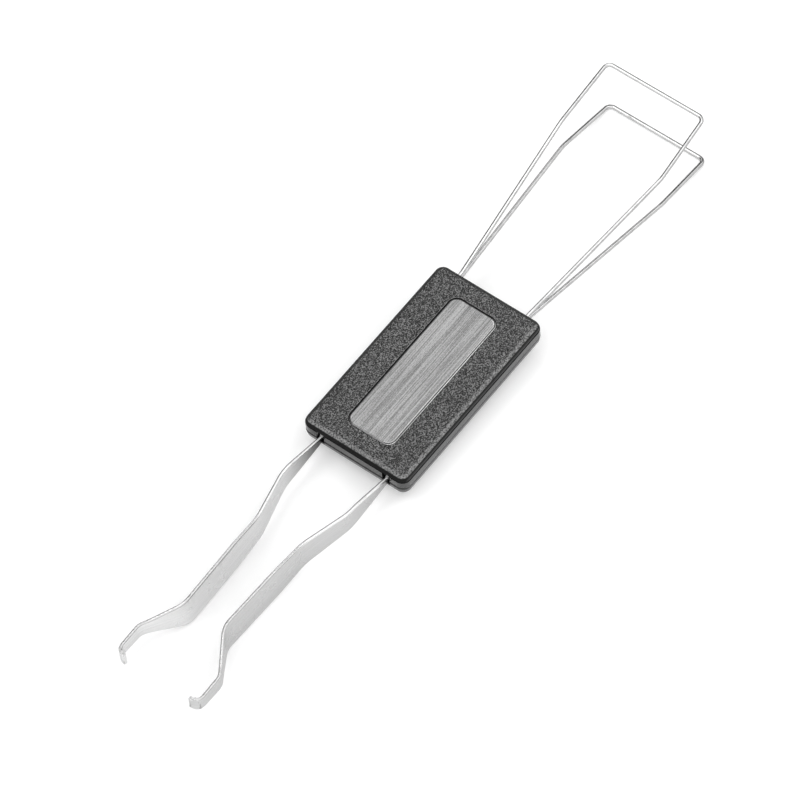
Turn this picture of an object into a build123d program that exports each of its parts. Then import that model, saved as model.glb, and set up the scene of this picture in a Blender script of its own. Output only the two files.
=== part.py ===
from build123d import *
import os

# Keycap and switch puller: a flat two-part handle with wire loops at +X and strip jaws at -X.
# The origin is the centre of the handle's underside, +Z is up and all sizes are in millimetres.

# Handle
handle_length = 37.0
handle_width = 20.7
corner_radius = 1.6
lower_height = 2.76
upper_height = 1.24
upper_inset = 0.12
side_land = 0.15
foot_height = 0.9
foot_inset = 0.15
side_wall = 1.8
pocket_floor = 0.9
pocket_length = 14.0

# Pegs and ribs under the cover, and the pegs' sockets in the tray
peg_width = 1.6
peg_length = 1.0
peg_setback = 3.6
peg_clearance = 0.03
socket_spare = 0.1
rib_length = 3.6
rib_setback = 2.0

# Inlay plate and its pocket
inlay_length = 29.0
inlay_width = 9.1
inlay_radius = 1.6
inlay_thickness = 0.6
inlay_edge = 0.26
inlay_edge_drop = 0.1
inlay_sink = 0.1
inlay_gap = 0.05

# Wire loops
wire_diameter = 0.7
wire_clearance = 0.03
leg_inset = 3.55
leg_grip = 8.2
flat_length = 2.0
flat_width = 1.05
flat_thickness = 0.36
exit_run = 0.6
exit_radius = 6.0
bend_run = 32.4
bend_inset = 0.33
bend_rise = 3.6
bend_radius = 12.0
tip_run = 12.42
tip_inset = 0.35
tip_rise = 2.36
tip_radius = 1.1

# Strip jaws, in plan
strip_thickness = 0.6
strip_clearance = 0.05
root_inset = 3.78
root_grip = 7.6
root_hook = 3.2
root_hook_radius = 1.0
neck_radius = 9.0
root_run = 9.6
waist_start_width = 8.74
neck_run = 9.0
waist_radius = 9.0
waist_end_width = 7.64
waist_run = 19.2
shoulder_radius = 4.5
hook_width = 16.04
flare_run = 6.5
hook_radius = 2.6
hook_run = 5.5
tip_end_radius = 1.4
tip_end_flat = 0.2
mouth_width = 1.5
mouth_depth = 0.8

# Strip jaws, from the side
root_height = 1.4
root_floor = 0.5
strip_axis_drop = 0.91
widen_run = 7.7
neck_height = 4.4
blade_run = 12.0
blade_height = 7.1
blade_lead = 0.9
hook_height = 3.4
taper_lead = 1.4
tip_height = 2.6
side_round = 6.0
tip_corner = 0.6

# Places that several pieces share
half_length = handle_length / 2
parting = lower_height
top_face = lower_height + upper_height
peg_places = [(half_length - peg_setback, 0), (peg_setback - half_length, 0)]
wire_slot = wire_diameter + 2 * wire_clearance
wire_middle = parting - wire_slot
strip_slot = strip_thickness + 2 * strip_clearance
leg_end_x = half_length - leg_grip
leg_y = handle_width / 2 - leg_inset
root_hook_x = -half_length + root_grip
root_y = handle_width / 2 - root_inset
rib_x = -half_length + rib_setback + rib_length / 2
root_top = root_floor + root_height
strip_axis = parting - strip_axis_drop
inlay_seat = top_face - inlay_sink - inlay_thickness

os.makedirs("parts", exist_ok=True)


def root_route(side):
    """Hooked root of one jaw inside the handle, from its tip to past the end wall."""
    y = side * root_y
    return [(root_hook_x, y - side * root_hook), (root_hook_x, y), (-half_length - mouth_depth, y)]


# Tray: the lower half, with a groove for each stacked pair of wire legs and a slot for each jaw
with BuildPart() as lower_shell:
    with BuildSketch():
        RectangleRounded(handle_length, handle_width, corner_radius)
    extrude(amount=lower_height)
    underside = lower_shell.faces().sort_by(Axis.Z)[0]
    chamfer(underside.edges(), foot_inset, foot_height, reference=underside)
    with BuildSketch(Plane.XY.offset(pocket_floor)):
        RectangleRounded(pocket_length, handle_width - 2 * side_wall, corner_radius)
    extrude(amount=lower_height, mode=Mode.SUBTRACT)
    for side in (1, -1):
        with BuildSketch(Plane.XY.offset(parting - 2 * wire_slot)):
            with Locations((leg_end_x, side * leg_y)):
                Rectangle(leg_grip + exit_run, wire_slot, align=(Align.MIN, Align.CENTER))
                Rectangle(
                    flat_length + wire_clearance,
                    flat_width + 2 * wire_clearance,
                    align=(Align.MAX, Align.CENTER),
                )
        extrude(amount=lower_height, mode=Mode.SUBTRACT)
        with BuildSketch(Plane.XY.offset(root_floor - strip_clearance)):
            with BuildLine():
                FilletPolyline(root_route(side), radius=root_hook_radius)
            trace(line_width=strip_slot)
            with Locations((-half_length, side * root_y)):
                Rectangle(2 * mouth_depth, mouth_width)
        extrude(amount=lower_height, mode=Mode.SUBTRACT)
    with BuildSketch(Plane.XY.offset(parting)):
        with Locations(peg_places):
            Rectangle(peg_width + 2 * peg_clearance, peg_width + 2 * peg_clearance)
    extrude(amount=-(peg_length + socket_spare), mode=Mode.SUBTRACT)

lower_shell.part.label = "lower_shell"
export_step(lower_shell.part, "parts/lower_shell.step")

# Cover: the upper half, with the inlay's pocket on top, and pegs and jaw clamping ribs underneath
with BuildPart() as upper_shell:
    with BuildSketch(Plane.XY.offset(parting)):
        RectangleRounded(
            handle_length - 2 * upper_inset,
            handle_width - 2 * upper_inset,
            corner_radius - upper_inset,
        )
    extrude(amount=upper_height)
    fillet(upper_shell.faces().sort_by(Axis.Z)[-1].edges(), upper_height - side_land)
    with BuildSketch(Plane.XY.offset(inlay_seat)):
        RectangleRounded(
            inlay_length + 2 * inlay_gap,
            inlay_width + 2 * inlay_gap,
            inlay_radius + inlay_gap,
        )
    extrude(amount=upper_height, mode=Mode.SUBTRACT)
    with BuildSketch(Plane.XY.offset(parting)):
        with Locations(peg_places):
            Rectangle(peg_width, peg_width)
    extrude(amount=-peg_length)
    with BuildSketch(Plane.XY.offset(parting)):
        with Locations((rib_x, root_y), (rib_x, -root_y)):
            Rectangle(rib_length, strip_thickness)
    extrude(amount=root_top + strip_clearance - parting)

upper_shell.part.label = "upper_shell"
export_step(upper_shell.part, "parts/upper_shell.step")

# Inlay: a thin plate with a wide shallow chamfer round its top
with BuildPart() as inlay_plate:
    with BuildSketch(Plane.XY.offset(inlay_seat)):
        RectangleRounded(inlay_length, inlay_width, inlay_radius)
    extrude(amount=inlay_thickness)
    plate_top = inlay_plate.faces().sort_by(Axis.Z)[-1]
    chamfer(plate_top.edges(), inlay_edge, inlay_edge_drop, reference=plate_top)

inlay_plate.part.label = "inlay_plate"
export_step(inlay_plate.part, "parts/inlay_plate.step")

# Wire loops: one round wire each with flattened ends, the lower one turned over
for name, level in (("upper_wire", 1), ("lower_wire", -1)):
    exit_x = half_length + exit_run
    bend_x = half_length + bend_run
    tip_x = bend_x + tip_run
    bend_y = handle_width / 2 - bend_inset
    tip_y = bend_y - tip_inset
    leg_z = wire_middle + level * wire_slot / 2
    bend_z = wire_middle + level * bend_rise
    tip_z = bend_z + level * tip_rise
    half_route = [
        (leg_end_x, leg_y, leg_z),
        (exit_x, leg_y, leg_z),
        (bend_x, bend_y, bend_z),
        (tip_x, tip_y, tip_z),
    ]
    other_half = [(x, -y, z) for x, y, z in reversed(half_route)]
    half_radii = [exit_radius, bend_radius, tip_radius]
    with BuildPart() as wire:
        with BuildLine() as wire_path:
            FilletPolyline(half_route + other_half, radius=half_radii + half_radii[::-1])
        with BuildSketch(Plane(wire_path.line @ 0, z_dir=wire_path.line % 0)):
            Circle(wire_diameter / 2)
        sweep(path=wire_path.line)
        with Locations((leg_end_x, leg_y, leg_z), (leg_end_x, -leg_y, leg_z)):
            Box(
                flat_length,
                flat_width,
                flat_thickness,
                align=(Align.MAX, Align.CENTER, Align.CENTER),
            )
    wire.part.label = name
    export_step(wire.part, f"parts/{name}.step")

# Strip jaws: the bent plan of the strip, cut to the outline that it has from the side
neck_x = -half_length - root_run
waist_x = neck_x - neck_run
shoulder_x = waist_x - waist_run
hook_x = shoulder_x - flare_run
tip_end_x = hook_x - hook_run
strip_end = tip_end_x - strip_thickness
wide_x = -half_length - widen_run
blade_end_x = shoulder_x + blade_lead
blade_start_x = blade_end_x + blade_run
taper_end_x = hook_x + taper_lead
for name, side in (("left_jaw", 1), ("right_jaw", -1)):
    plan = [
        (root_hook_x, side * (root_y - root_hook)),
        (root_hook_x, side * root_y),
        (neck_x, side * root_y),
        (waist_x, side * waist_start_width / 2),
        (shoulder_x, side * waist_end_width / 2),
        (hook_x, side * hook_width / 2),
        (tip_end_x, side * hook_width / 2),
        (tip_end_x, side * (hook_width / 2 - tip_end_radius - tip_end_flat)),
    ]
    plan_radii = [
        root_hook_radius,
        neck_radius,
        waist_radius,
        shoulder_radius,
        hook_radius,
        tip_end_radius,
    ]
    upper_edge = [
        (root_hook_x + strip_thickness, root_top),
        (-half_length, root_top),
        (wide_x, strip_axis + neck_height / 2),
        (blade_start_x, strip_axis + blade_height / 2),
        (blade_end_x, strip_axis + blade_height / 2),
        (taper_end_x, strip_axis + hook_height / 2),
        (strip_end, strip_axis + tip_height / 2),
    ]
    lower_edge = [
        (strip_end, strip_axis - tip_height / 2),
        (taper_end_x, strip_axis - hook_height / 2),
        (blade_end_x, strip_axis - blade_height / 2),
        (blade_start_x, strip_axis - blade_height / 2),
        (wide_x, strip_axis - neck_height / 2),
        (-half_length, root_floor),
        (root_hook_x + strip_thickness, root_floor),
    ]
    edge_rounds = [0, side_round / 2, side_round, side_round, side_round, side_round, tip_corner]
    with BuildPart() as jaw:
        with BuildSketch(Plane.XY.offset(strip_axis - blade_height)):
            with BuildLine():
                FilletPolyline(plan, radius=plan_radii)
            trace(line_width=strip_thickness)
        extrude(amount=2 * blade_height)
        with BuildSketch(Plane.XZ):
            with BuildLine():
                FilletPolyline(
                    upper_edge + lower_edge, radius=edge_rounds + edge_rounds[::-1], close=True
                )
            make_face()
        extrude(amount=handle_width, both=True, mode=Mode.INTERSECT)
    jaw.part.label = name
    export_step(jaw.part, f"parts/{name}.step")
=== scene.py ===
import math

import bmesh
import bpy
from mathutils import Matrix, Vector


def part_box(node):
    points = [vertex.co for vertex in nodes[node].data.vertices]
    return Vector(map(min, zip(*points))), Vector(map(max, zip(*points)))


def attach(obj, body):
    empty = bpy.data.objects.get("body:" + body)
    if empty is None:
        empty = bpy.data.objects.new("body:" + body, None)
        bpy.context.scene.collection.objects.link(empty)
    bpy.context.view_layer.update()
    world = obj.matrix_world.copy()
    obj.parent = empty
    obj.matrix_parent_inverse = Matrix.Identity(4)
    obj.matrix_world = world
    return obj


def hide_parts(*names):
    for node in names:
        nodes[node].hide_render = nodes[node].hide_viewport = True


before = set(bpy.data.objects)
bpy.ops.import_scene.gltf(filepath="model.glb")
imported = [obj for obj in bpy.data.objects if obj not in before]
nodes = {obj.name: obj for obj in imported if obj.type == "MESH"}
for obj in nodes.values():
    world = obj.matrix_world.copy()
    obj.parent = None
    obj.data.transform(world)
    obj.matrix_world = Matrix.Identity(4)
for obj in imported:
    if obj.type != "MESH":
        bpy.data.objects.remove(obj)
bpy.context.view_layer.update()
print("frame loaded,", len(nodes), "pieces")

scene = bpy.context.scene
scene.view_settings.view_transform = "Standard"

# a long lens from above the near corner
cameraView = {
    "azimuth": -48.13,
    "elevation": 57.48,
    "roll": -5.47,
    "aim": (-0.005593, 0.000422, 0.002),
    "distance": 0.9557,
    "lens": 270.0,
    "sensor": 36,
    "nearClip": 0.01,
}


def aimCamera(view):
    azimuth = math.radians(view["azimuth"])
    elevation = math.radians(view["elevation"])
    roll = math.radians(view["roll"])
    flat = math.cos(elevation)
    back = Vector((math.sin(azimuth) * flat, -math.cos(azimuth) * flat, math.sin(elevation)))
    right = Vector((math.cos(azimuth), math.sin(azimuth), 0))
    up = back.cross(right)
    rolledRight = math.cos(roll) * right + math.sin(roll) * up
    rolledUp = math.cos(roll) * up - math.sin(roll) * right
    attitude = Matrix((rolledRight, rolledUp, back)).transposed().to_4x4()
    data = bpy.data.cameras.new("camera")
    data.lens = view["lens"]
    data.sensor_width = view["sensor"]
    data.clip_start = view["nearClip"]
    camera = bpy.data.objects.new("camera", data)
    scene.collection.objects.link(camera)
    stand = Vector(view["aim"]) + back * view["distance"]
    camera.matrix_world = Matrix.Translation(stand) @ attitude
    scene.camera = camera


aimCamera(cameraView)
print("camera set")

# shader helpers that all the finishes share
noiseSpan = (0.3, 0.7)  # most of a noise pattern lies between these


def startFinish(name):
    finish = bpy.data.materials.new(name)
    finish.use_nodes = True
    tree = finish.node_tree
    where = tree.nodes.new("ShaderNodeTexCoord").outputs["Object"]
    return finish, tree, tree.nodes["Principled BSDF"], where


def feed(tree, value, socket):
    if isinstance(value, bpy.types.NodeSocket):
        tree.links.new(value, socket)
    else:
        socket.default_value = value


def gray(level):
    return (level, level, level, 1)


def stretch(tree, where, scale):
    node = tree.nodes.new("ShaderNodeMapping")
    node.inputs["Scale"].default_value = scale
    tree.links.new(where, node.inputs["Vector"])
    return node.outputs["Vector"]


def noise(tree, where, scale, detail=2.0, rough=0.5):
    node = tree.nodes.new("ShaderNodeTexNoise")
    node.inputs["Scale"].default_value = scale
    node.inputs["Detail"].default_value = detail
    node.inputs["Roughness"].default_value = rough
    tree.links.new(where, node.inputs["Vector"])
    return node.outputs["Fac"]


def pits(tree, where, scale):
    node = tree.nodes.new("ShaderNodeTexVoronoi")
    node.feature = "SMOOTH_F1"
    node.inputs["Scale"].default_value = scale
    tree.links.new(where, node.inputs["Vector"])
    return node.outputs["Distance"]


def ramp(tree, value, spots, levels):
    node = tree.nodes.new("ShaderNodeValToRGB")
    bar = node.color_ramp.elements
    while len(bar) < len(spots):
        bar.new(0.5)
    for mark, spot, level in zip(bar, spots, levels):
        mark.position = spot
        mark.color = gray(level)
    tree.links.new(value, node.inputs["Fac"])
    return node.outputs["Color"]


def remap(tree, value, span, result=(0, 1)):
    node = tree.nodes.new("ShaderNodeMapRange")
    for end, spot, level in zip(("Min", "Max"), span, result):
        node.inputs["From " + end].default_value = spot
        node.inputs["To " + end].default_value = level
    tree.links.new(value, node.inputs["Value"])
    return node.outputs["Result"]


def mixed(tree, amount, first, second, how="MIX"):
    node = tree.nodes.new("ShaderNodeMix")
    node.data_type = "RGBA"
    node.blend_type = how
    feed(tree, amount, node.inputs[0])
    feed(tree, first, node.inputs[6])
    feed(tree, second, node.inputs[7])
    return node.outputs[2]


def times(tree, first, second):
    return mixed(tree, 1.0, first, second, "MULTIPLY")


def sums(tree, how, first, second=0.0):
    node = tree.nodes.new("ShaderNodeMath")
    node.operation = how
    feed(tree, first, node.inputs[0])
    feed(tree, second, node.inputs[1])
    return node.outputs["Value"]


def axes(tree, vector):
    node = tree.nodes.new("ShaderNodeSeparateXYZ")
    tree.links.new(vector, node.inputs["Vector"])
    return node.outputs["X"], node.outputs["Y"], node.outputs["Z"]


def facingAxes(tree, kind="Normal"):
    return axes(tree, tree.nodes.new("ShaderNodeNewGeometry").outputs[kind])


def bump(tree, height, strength, distance, under=None):
    node = tree.nodes.new("ShaderNodeBump")
    node.inputs["Strength"].default_value = strength
    node.inputs["Distance"].default_value = distance
    tree.links.new(height, node.inputs["Height"])
    if under is not None:
        tree.links.new(under, node.inputs["Normal"])
    return node.outputs["Normal"]


# angles are in degrees
softening = {
    "weld": 1e-6,
    "flatTurn": 0.6,
    "creaseTurn": 38,
}


# a merged, smooth copy of a node, with some of its edges rounded where isCrisp picks them
def softCopy(name, finish, isCrisp=None, width=0, steps=0):
    weld = softening["weld"]
    mesh = bpy.data.meshes.new(name + "_soft")
    form = bmesh.new()
    form.from_mesh(nodes[name].data)
    bmesh.ops.remove_doubles(form, verts=form.verts, dist=weld)
    bmesh.ops.dissolve_limit(
        form,
        angle_limit=math.radians(softening["flatTurn"]),
        verts=form.verts,
        edges=form.edges,
        use_dissolve_boundaries=False,
    )
    crisp = [edge for edge in form.edges if isCrisp and edge.is_manifold and isCrisp(edge)]
    if crisp:
        bmesh.ops.bevel(
            form,
            geom=crisp,
            offset=width,
            offset_type="OFFSET",
            affect="EDGES",
            segments=steps,
            profile=0.5,
            material=-1,
            clamp_overlap=False,
        )
        # the bevel leaves a few faces without area
        bmesh.ops.remove_doubles(form, verts=form.verts, dist=weld)
        bmesh.ops.dissolve_degenerate(form, edges=form.edges, dist=weld)
    for face in form.faces:
        face.smooth = True
    form.to_mesh(mesh)
    form.free()
    mesh.set_sharp_from_angle(angle=math.radians(softening["creaseTurn"]))
    mesh.materials.append(finish)
    piece = bpy.data.objects.new(name + "_soft", mesh)
    scene.collection.objects.link(piece)
    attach(piece, "root")
    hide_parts(name)
    weights = piece.modifiers.new("weights", "WEIGHTED_NORMAL")
    weights.keep_sharp = True
    print(name, "softened,", len(crisp), "edges rounded,", len(mesh.polygons), "faces")


def turn(edge):
    return math.degrees(edge.calc_face_angle())


# cover: matt black plastic, spark-eroded grain on top, smooth black sides, the round edge carrying
# lighter rubbed dots, part wear and part painted highlight, with painted shade on two of its sides
cover = {
    "grainScale": 5600,
    "grainSpots": (0.36, 0.5, 0.64),
    "grainTones": (0.005, 0.044, 0.225),
    "patchScale": 160,
    "patchTones": (0.8, 1.0),
    "cellScale": 4480,
    "cellSpan": (0.0, 0.6),
    "topSlope": (0.95, 0.985),
    "topRoughness": (0.55, 0.7),
    "rubScale": 3920,
    "rubSpots": (0.36, 0.62),
    "rubAndSheenTones": (0.045, 0.24),
    # painted highlight and painted shade on the round edge, by which way it faces
    "litSideSpan": (-0.12, 0.12),
    "litSideTones": (1.0, 0.16),
    "side": 0.003,
    "sideSlope": (0.6, 0.72),
    "sideSpan": (0.8, 0.97),
    "sideRoughness": (0.9, 0.2),
    "specular": 0.3,
    "bumpStrength": 0.6,
    "bumpDepth": 0.00003,
    "rim": 0.00015,
    "rimSteps": 2,
    "rimTurn": 60,
    "rimDrop": 0.00001,
}


def coverFinish(c):
    finish, tree, shader, where = startFinish("grainedBlackPlastic")
    endways, sideways, rising = facingAxes(tree)
    grain = noise(tree, where, c["grainScale"], detail=1.2, rough=0.55)
    cells = pits(tree, where, c["cellScale"])
    patches = noise(tree, where, c["patchScale"], detail=3, rough=0.6)
    speckle = ramp(tree, grain, c["grainSpots"], c["grainTones"])
    shaded = times(tree, speckle, ramp(tree, patches, noiseSpan, c["patchTones"]))
    rubAndSheenDots = noise(tree, where, c["rubScale"], detail=1)
    rubAndSheen = ramp(tree, rubAndSheenDots, c["rubSpots"], c["rubAndSheenTones"])
    # the round edge's dotted band is part rubbed wear and part painted highlight; on the edges by the
    # jaws and the thumb it is lighter as painted highlight, on the other two it is darkened as painted
    # shade
    litSideLean = sums(tree, "ADD", endways, sideways)
    rubbedAndLitEdge = times(tree, rubAndSheen, remap(tree, litSideLean, c["litSideSpan"], c["litSideTones"]))
    onTop = remap(tree, rising, c["topSlope"])
    aboveSide = remap(tree, rising, c["sideSlope"])
    edged = mixed(tree, onTop, rubbedAndLitEdge, shaded)
    tree.links.new(mixed(tree, aboveSide, gray(c["side"]), edged), shader.inputs["Base Color"])
    # the long sides are handled more, and are glossier than the ends
    handled = remap(tree, sums(tree, "ABSOLUTE", sideways), c["sideSpan"], c["sideRoughness"])
    matt = remap(tree, cells, c["cellSpan"], c["topRoughness"])
    tree.links.new(mixed(tree, aboveSide, handled, matt), shader.inputs["Roughness"])
    shader.inputs["Specular IOR Level"].default_value = c["specular"]
    relief = sums(tree, "MULTIPLY", sums(tree, "ADD", grain, cells), aboveSide)
    tree.links.new(bump(tree, relief, c["bumpStrength"], c["bumpDepth"]), shader.inputs["Normal"])
    return finish


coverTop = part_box("upper_shell")[1].z


# the rim of the inlay's pocket
def isRim(edge):
    lowest = min(v.co.z for v in edge.verts)
    return turn(edge) > cover["rimTurn"] and lowest > coverTop - cover["rimDrop"]


softCopy("upper_shell", coverFinish(cover), isRim, cover["rim"], cover["rimSteps"])

# tray: glossy black plastic with a fine parting line round its wall
tray = {
    "base": 0.012,
    "speck": 0.0312,
    "speckScale": 5200,
    "speckSpots": (0.62, 0.78),
    "flowScale": 260,
    "flowStretch": (1, 1, 6),
    "flowStrength": 0.25,
    "flowDepth": 0.00001,
    "roughness": (0.1, 0.2),
    "line": 0.003,
    "lineHeight": 0.0013,
    "lineSpan": (0.000102, 0.00034),
    "lineDepth": 0.0002,
    "lineRoughness": 0.6,
    "sideLine": 0.3,
    "endSpan": (0.3, 0.9),
    "ior": 1.56,
}


def trayFinish(t):
    finish, tree, shader, where = startFinish("glossyBlackPlastic")
    height = axes(tree, where)[2]
    flow = noise(tree, stretch(tree, where, t["flowStretch"]), t["flowScale"])
    dust = noise(tree, where, t["speckScale"], rough=0.7)
    off = sums(tree, "ABSOLUTE", sums(tree, "SUBTRACT", height, t["lineHeight"]))
    endways = sums(tree, "ABSOLUTE", facingAxes(tree)[0])
    # the line is deeper at the ends, where the shell opens
    depth = remap(tree, endways, t["endSpan"], (t["sideLine"], 1))
    line = sums(tree, "MULTIPLY", remap(tree, off, t["lineSpan"], (1, 0)), depth)
    specks = ramp(tree, dust, t["speckSpots"], (t["base"], t["speck"]))
    tree.links.new(mixed(tree, line, specks, gray(t["line"])), shader.inputs["Base Color"])
    smooth = remap(tree, flow, noiseSpan, t["roughness"])
    dulled = sums(tree, "MULTIPLY", line, t["lineRoughness"])
    tree.links.new(sums(tree, "ADD", smooth, dulled), shader.inputs["Roughness"])
    shader.inputs["IOR"].default_value = t["ior"]
    wavy = bump(tree, flow, t["flowStrength"], t["flowDepth"])
    sunk = sums(tree, "SUBTRACT", 1.0, line)
    tree.links.new(bump(tree, sunk, 1.0, t["lineDepth"], wavy), shader.inputs["Normal"])
    return finish


softCopy("lower_shell", trayFinish(tray))

# inlay: aluminium brushed along its length, left bare
inlay = {
    "tones": (0.2, 0.45),
    "toneSpots": (0.4, 0.6),
    "streaks": (70, 7000, 7000),
    "streakStrength": 0.3,
    "streakDepth": 0.000008,
    "lanes": (12, 1500, 1500),
    "laneSpots": (0.35, 0.65),
    "laneTones": (0.93, 1.0),
    "grit": 7000,
    "gritShare": 0.42,
    "roughness": (0.5, 0.36),
    "topSlope": (0.95, 0.99),
    # painted highlight and painted shade on the chamfer, by which way it faces
    "chamferLitSpan": (-0.36, 0.1),
    "chamferLitTones": (1.1, 0.28),
    "litEndShare": 0.2,
    "halfLength": 0.0145,
    "halfWidth": 0.00455,
    "corner": 0.0016,
    # painted highlight and painted shade lines along one side's chamfer
    "paintedLineSide": (-0.00295, -0.00335),
    "paintedLineDepths": (0.08, 0.11, 0.25, 0.29, 0.41, 0.48),  # in millimetres
    "paintedLineTones": (1.6, 0.15, 0.15, 1.6, 1.6, 1.0),
}
perMetre = 1000.0  # millimetres


# how far a point of the plate lies inside the plate's rounded outline, up to the corner radius
def insideDepth(tree, where, i):
    past = []
    for spot, half in zip(axes(tree, where), (i["halfLength"], i["halfWidth"])):
        over = sums(tree, "SUBTRACT", sums(tree, "ABSOLUTE", spot), half - i["corner"])
        past.append(sums(tree, "POWER", sums(tree, "MAXIMUM", over), 2.0))
    return sums(tree, "SUBTRACT", i["corner"], sums(tree, "SQRT", sums(tree, "ADD", *past)))


def inlayFinish(i):
    finish, tree, shader, where = startFinish("brushedAluminium")
    fine = noise(tree, stretch(tree, where, i["streaks"]), 1.0, detail=1.5, rough=0.6)
    grit = noise(tree, where, i["grit"], detail=1)
    wide = noise(tree, stretch(tree, where, i["lanes"]), 1.0)
    tone = ramp(tree, mixed(tree, i["gritShare"], fine, grit), i["toneSpots"], i["tones"])
    plain = times(tree, tone, ramp(tree, wide, i["laneSpots"], i["laneTones"]))
    # on one side only, lines are painted along the chamfer: a painted highlight at the edge, a band of
    # painted shade, then a second painted highlight further in
    depth = sums(tree, "MULTIPLY", insideDepth(tree, where, i), perMetre)
    brightest = max(i["paintedLineTones"])
    levels = [level / brightest for level in i["paintedLineTones"]]
    paintedLines = remap(tree, ramp(tree, depth, i["paintedLineDepths"], levels), (0, 1), (0, brightest))
    onPaintedSide = remap(tree, axes(tree, where)[1], i["paintedLineSide"])
    brushedWithPaintedLines = mixed(tree, onPaintedSide, plain, times(tree, plain, paintedLines))
    # the chamfer is painted lighter on the side towards -Y and, less, on the end towards the jaws, a
    # painted highlight, and darker on the other two sides, painted shade
    endways, sideways, rising = facingAxes(tree)
    chamferLitLean = sums(tree, "ADD", sideways, sums(tree, "MULTIPLY", endways, i["litEndShare"]))
    chamfer = times(tree, brushedWithPaintedLines, remap(tree, chamferLitLean, i["chamferLitSpan"], i["chamferLitTones"]))
    onTop = remap(tree, rising, i["topSlope"])
    tree.links.new(mixed(tree, onTop, chamfer, brushedWithPaintedLines), shader.inputs["Base Color"])
    shader.inputs["Metallic"].default_value = 1.0
    tree.links.new(remap(tree, fine, noiseSpan, i["roughness"]), shader.inputs["Roughness"])
    tree.links.new(bump(tree, fine, i["streakStrength"], i["streakDepth"]), shader.inputs["Normal"])
    return finish


brushedAluminium = inlayFinish(inlay)
for plateSlot in nodes["inlay_plate"].material_slots:
    plateSlot.material = brushedAluminium
print("inlay finished")

# wire loops: drawn stainless wire, polished
wire = {
    "tones": (0.48, 0.6),
    "rubScale": 900,
    "rubSpots": (0.3, 0.6),
    "drawLines": (90, 3000, 3000),
    "lineStrength": 0.15,
    "lineDepth": 0.000004,
    "roughness": (0.06, 0.14),
    "edgeTint": 0.12,
}


def wireFinish(w):
    finish, tree, shader, where = startFinish("drawnSteelWire")
    drawn = noise(tree, stretch(tree, where, w["drawLines"]), 1.0, rough=0.6)
    rub = noise(tree, where, w["rubScale"], detail=3, rough=0.6)
    tree.links.new(ramp(tree, rub, w["rubSpots"], w["tones"]), shader.inputs["Base Color"])
    shader.inputs["Metallic"].default_value = 1.0
    tree.links.new(remap(tree, drawn, noiseSpan, w["roughness"]), shader.inputs["Roughness"])
    shader.inputs["Specular Tint"].default_value = gray(w["edgeTint"])
    tree.links.new(bump(tree, drawn, w["lineStrength"], w["lineDepth"]), shader.inputs["Normal"])
    return finish


drawnSteel = wireFinish(wire)
for wireName in ("upper_wire", "lower_wire"):
    softCopy(wireName, drawnSteel)

# jaws: rolled stainless strip with its sheared edges rounded off, faint rolling lines along it
jaw = {
    # the two jaws' tones differ as painted light, and their roots are darkened towards the handle as
    # painted shade
    "tones": {"left_jaw": (0.66, 0.76), "right_jaw": (0.52, 0.6)},
    "rootShadeTones": {"left_jaw": 0.2, "right_jaw": 0.92},
    "rootShadeSpan": (-0.0285, -0.0195),
    "rollLines": (30, 30, 3200),
    "lineStrength": 0.15,
    "lineDepth": 0.000006,
    "cloudScale": 220,
    "roughness": (0.22, 0.3),
    "edge": 0.8,
    "edgeSlope": (0.7, 0.9),
    "edgeShine": 0.25,
    "edgeTint": 0.8,
    "neckSpan": (-0.0385, -0.036),
    "dotScale": 3400,
    "dotSpots": (0.38, 0.6),
    "dotTones": (0.36, 0.54),
    "roundSlope": (0.1, 0.35),
    # painted shade on the edge's side facing +Y, painted highlight on the side facing -Y
    "shadedBevelSpan": (0.05, 0.25),
    "shadedBevelTones": (0.82, 0.02),  # past the neck, before it
    "litBevelSpan": (-0.25, -0.05),
    "litBevelTones": (0.54, 0.92),  # past the neck, before it
    "round": 0.00026,
    "roundSteps": 5,
    "roundRun": (-0.0678, -0.0125),
    "roundTurn": 40,
}


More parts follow.
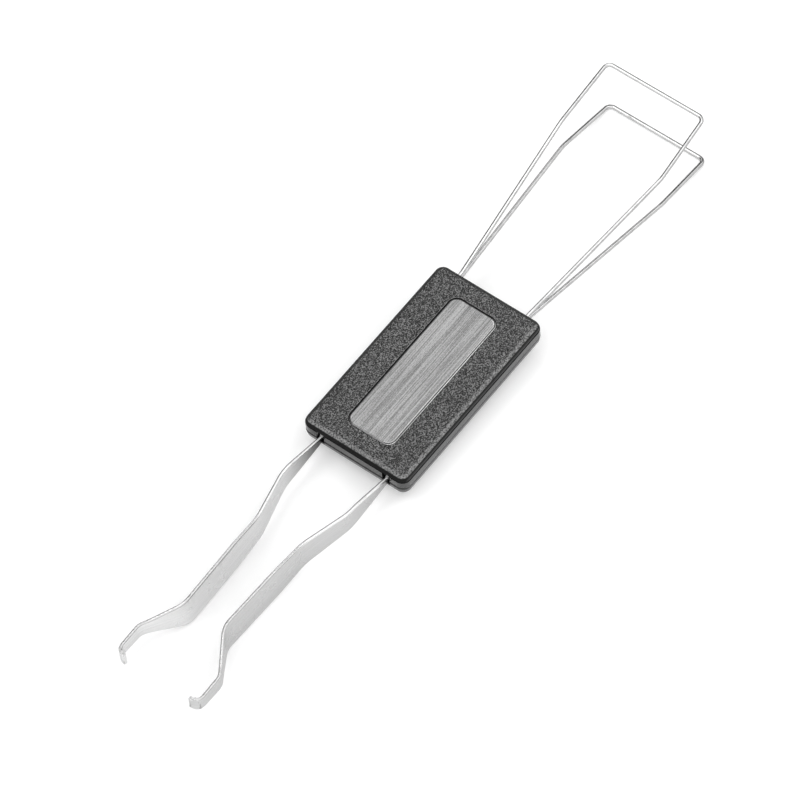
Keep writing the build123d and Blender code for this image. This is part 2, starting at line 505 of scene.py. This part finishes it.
def jawFinish(j, name):
    finish, tree, shader, where = startFinish("rolledSteelStrip_" + name)
    along = axes(tree, where)[0]
    leaning, rising = facingAxes(tree, "True Normal")[1:]
    upright = sums(tree, "ABSOLUTE", rising)
    rolled = noise(tree, stretch(tree, where, j["rollLines"]), 1.0, detail=3, rough=0.6)
    # painted light: each jaw's face tone is set for how the light falls on it, and the face is painted
    # darker towards the handle as painted shade, the left jaw far more than the right
    tone = ramp(tree, rolled, noiseSpan, j["tones"][name])
    face = times(tree, tone, remap(tree, along, j["rootShadeSpan"], (1.0, j["rootShadeTones"][name])))
    # past the neck the sheared edge is left rough
    dots = noise(tree, where, j["dotScale"], detail=1)
    torn = ramp(tree, dots, j["dotSpots"], j["dotTones"])
    dressed = remap(tree, along, j["neckSpan"])
    sheared = remap(tree, upright, j["edgeSlope"])
    plain = mixed(tree, sheared, face, mixed(tree, dressed, torn, gray(j["edge"])))
    # painted shade darkens the rounded edge on its side facing +Y, and a painted highlight lightens it
    # on its side facing -Y, the same way on both jaws
    rounded = remap(tree, upright, j["roundSlope"])
    shadedBevel = sums(tree, "MINIMUM", remap(tree, leaning, j["shadedBevelSpan"]), rounded)
    litBevel = sums(tree, "MINIMUM", remap(tree, leaning, j["litBevelSpan"], (1, 0)), rounded)
    shadedBevelTone = mixed(tree, dressed, *map(gray, j["shadedBevelTones"]))
    litBevelTone = mixed(tree, dressed, *map(gray, j["litBevelTones"]))
    withLitBevel = mixed(tree, litBevel, plain, litBevelTone)
    tree.links.new(mixed(tree, shadedBevel, withLitBevel, shadedBevelTone), shader.inputs["Base Color"])
    dulled = sums(tree, "MULTIPLY", sums(tree, "MAXIMUM", sheared, shadedBevel), dressed)
    tree.links.new(remap(tree, dulled, (0, 1), (1.0, j["edgeShine"])), shader.inputs["Metallic"])
    clouds = noise(tree, where, j["cloudScale"], detail=3, rough=0.55)
    tree.links.new(remap(tree, clouds, noiseSpan, j["roughness"]), shader.inputs["Roughness"])
    shader.inputs["Specular Tint"].default_value = gray(j["edgeTint"])
    tree.links.new(bump(tree, rolled, j["lineStrength"], j["lineDepth"]), shader.inputs["Normal"])
    return finish


# the long edges of the strip, without its two ends
def isSheared(edge):
    reach = [v.co.x for v in edge.verts]
    start, end = jaw["roundRun"]
    return min(reach) > start and max(reach) < end and turn(edge) > jaw["roundTurn"]


for jawName in ("left_jaw", "right_jaw"):
    rolledSteel = jawFinish(jaw, jawName)
    softCopy(jawName, rolledSteel, isSheared, jaw["round"], jaw["roundSteps"])

# floor: a white sheet that the lower loop and the jaws' lower edges rest on
floorSheet = {
    "half": 2.0,
    "jawContact": -0.0554,
    "loopContact": 0.0633,
    "colour": 0.8,
    "glow": 0.235,
}


def laySheet(s):
    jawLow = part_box("left_jaw")[0].z
    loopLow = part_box("lower_wire")[0].z
    slope = (loopLow - jawLow) / (s["loopContact"] - s["jawContact"])
    mesh = bpy.data.meshes.new("floor")
    sheet = bmesh.new()
    bmesh.ops.create_grid(sheet, x_segments=1, y_segments=1, size=s["half"])
    for corner in sheet.verts:
        corner.co.z = jawLow + slope * (corner.co.x - s["jawContact"])
    sheet.to_mesh(mesh)
    sheet.free()
    floor = bpy.data.objects.new("floor", mesh)
    scene.collection.objects.link(floor)
    finish = bpy.data.materials.new("whiteSheet")
    finish.use_nodes = True
    tree = finish.node_tree
    shader = tree.nodes["Principled BSDF"]
    shader.inputs["Base Color"].default_value = gray(s["colour"])
    shader.inputs["Roughness"].default_value = 1.0
    shader.inputs["Specular IOR Level"].default_value = 0.0
    shader.inputs["Emission Color"].default_value = gray(1.0)
    path = tree.nodes.new("ShaderNodeLightPath")
    seen = sums(tree, "MAXIMUM", path.outputs["Is Camera Ray"], path.outputs["Is Glossy Ray"])
    tree.links.new(sums(tree, "MULTIPLY", seen, s["glow"]), shader.inputs["Emission Strength"])
    floor.data.materials.append(finish)


laySheet(floorSheet)
print("floor laid")

# studio: a wide pale light overhead in a dark room, a white card low on the right, another in front
# by the jaws, and five softboxes aimed at the object
studio = {
    "axis": (-0.4, -0.359, 0.843),
    "lit": 1.45,
    "litSpan": (0.62, 0.71),
    "dark": 0.12,
    "card": 0.6,
    "cardSpan": (0.35, 0.85),
    "front": 1.1,
    "frontSpan": (0.6, 0.8),
    "softboxes": [
        {"power": 2.2, "size": (0.75, 0.75), "place": (-0.28, 0.42, 1.0)},
        {"power": 1.1, "size": (0.55, 0.55), "place": (0.45, -0.28, 0.98)},
        {"power": 1.08, "size": (0.43, 0.43), "place": (0.385, 0.346, 0.968)},
        {"power": 2.5, "size": (1.0, 0.72), "place": (0.8, -0.45, 0.66)},
        {"power": 0.9, "size": (0.46, 0.46), "place": (0.57, 0.68, 0.66)},
    ],
}


def lightStudio(s):
    world = bpy.data.worlds.new("studio")
    world.use_nodes = True
    scene.world = world
    tree = world.node_tree
    backdrop = tree.nodes["Background"]
    facing = tree.nodes.new("ShaderNodeTexCoord").outputs["Generated"]
    toward = tree.nodes.new("ShaderNodeVectorMath")
    toward.operation = "DOT_PRODUCT"
    toward.inputs[1].default_value = s["axis"]
    tree.links.new(facing, toward.inputs[0])
    backward, leftward = axes(tree, facing)[:2]
    rightward = sums(tree, "MULTIPLY", leftward, -1.0)
    card = remap(tree, rightward, s["cardSpan"], (s["dark"], s["card"]))
    frontward = sums(tree, "MULTIPLY", backward, -1.0)
    front = remap(tree, frontward, s["frontSpan"], (s["dark"], s["front"]))
    lit = remap(tree, toward.outputs["Value"], s["litSpan"])
    glow = mixed(tree, lit, sums(tree, "MAXIMUM", card, front), gray(s["lit"]))
    path = tree.nodes.new("ShaderNodeLightPath")
    shown = mixed(tree, path.outputs["Is Camera Ray"], glow, gray(1.0))
    tree.links.new(shown, backdrop.inputs["Color"])
    for box in s["softboxes"]:
        lamp = bpy.data.lights.new("softbox", "AREA")
        lamp.shape = "RECTANGLE"
        lamp.size, lamp.size_y = box["size"]
        lamp.energy = box["power"]
        softbox = bpy.data.objects.new("softbox", lamp)
        scene.collection.objects.link(softbox)
        place = Vector(box["place"])
        aim = place.to_track_quat("Z", "Y").to_matrix().to_4x4()
        softbox.matrix_world = Matrix.Translation(place) @ aim


lightStudio(studio)
print("studio lit")
